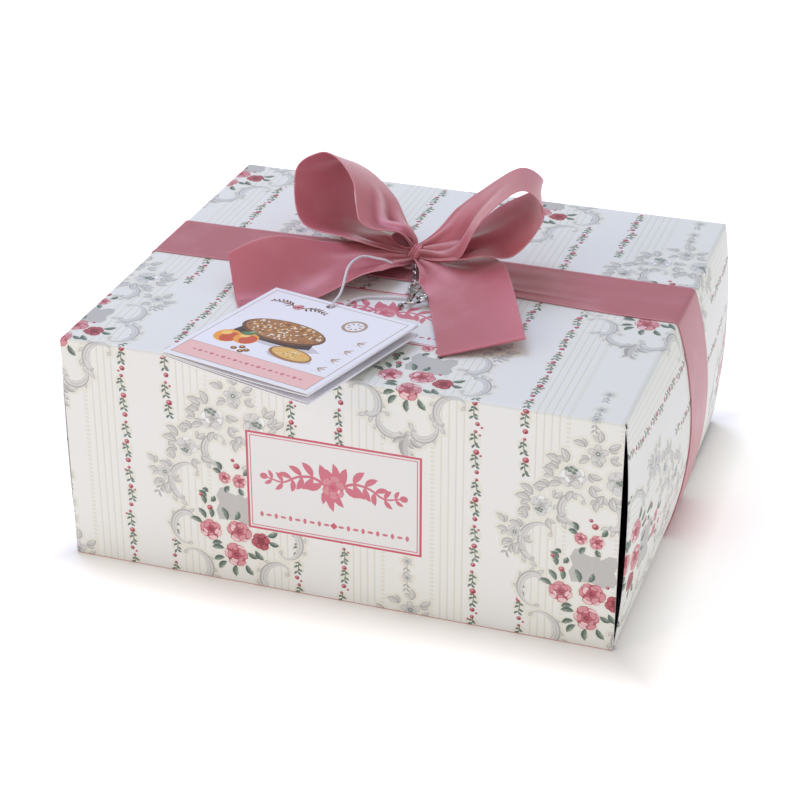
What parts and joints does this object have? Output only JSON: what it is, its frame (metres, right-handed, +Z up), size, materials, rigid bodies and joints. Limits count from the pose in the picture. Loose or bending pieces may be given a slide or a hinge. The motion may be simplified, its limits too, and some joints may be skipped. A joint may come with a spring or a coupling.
{
  "type": "ribbon-tied gift carton for a festive loaf",
  "caption": "Shut loaf carton with gently bowed side walls, tied with a wide satin ribbon and bow, with a folded leaflet tag on a white cord and a small silver charm.",
  "frame": {"origin": "on the surface it stands on, under the middle of the whole object's box without the tag's cord", "axes": "+Z up, +X to the right along the front, +Y from the front to the back"},
  "size_m": [0.2924, 0.265, 0.1695],
  "materials": {
    "carton_card": "satin-coated printed card with floral stripes",
    "tray_card": "plain lavender-grey card",
    "ribbon_satin": "dusty-rose satin weave",
    "tag_paper": "smooth coated paper with thin printed frames",
    "white_cord": "twisted white cord",
    "pink_cord": "light pink satin cord",
    "silver_metal": "polished silver-coloured metal"
  },
  "bodies": {
    "root": {"carton": "carton_card", "carton_tray": "tray_card", "ribbon_band": "ribbon_satin", "bow_knot": "ribbon_satin", "bow_loop_right": "ribbon_satin", "bow_loop_left": "ribbon_satin", "bow_tail_right": "ribbon_satin", "bow_tail_left": "ribbon_satin", "tag": "tag_paper", "tag_string": "white_cord", "charm_loop": "pink_cord", "charm": "silver_metal", "charm_link_1": "silver_metal", "charm_link_2": "silver_metal", "charm_link_3": "silver_metal", "charm_link_4": "silver_metal", "charm_link_5": "silver_metal"}
  },
  "joints": []
}
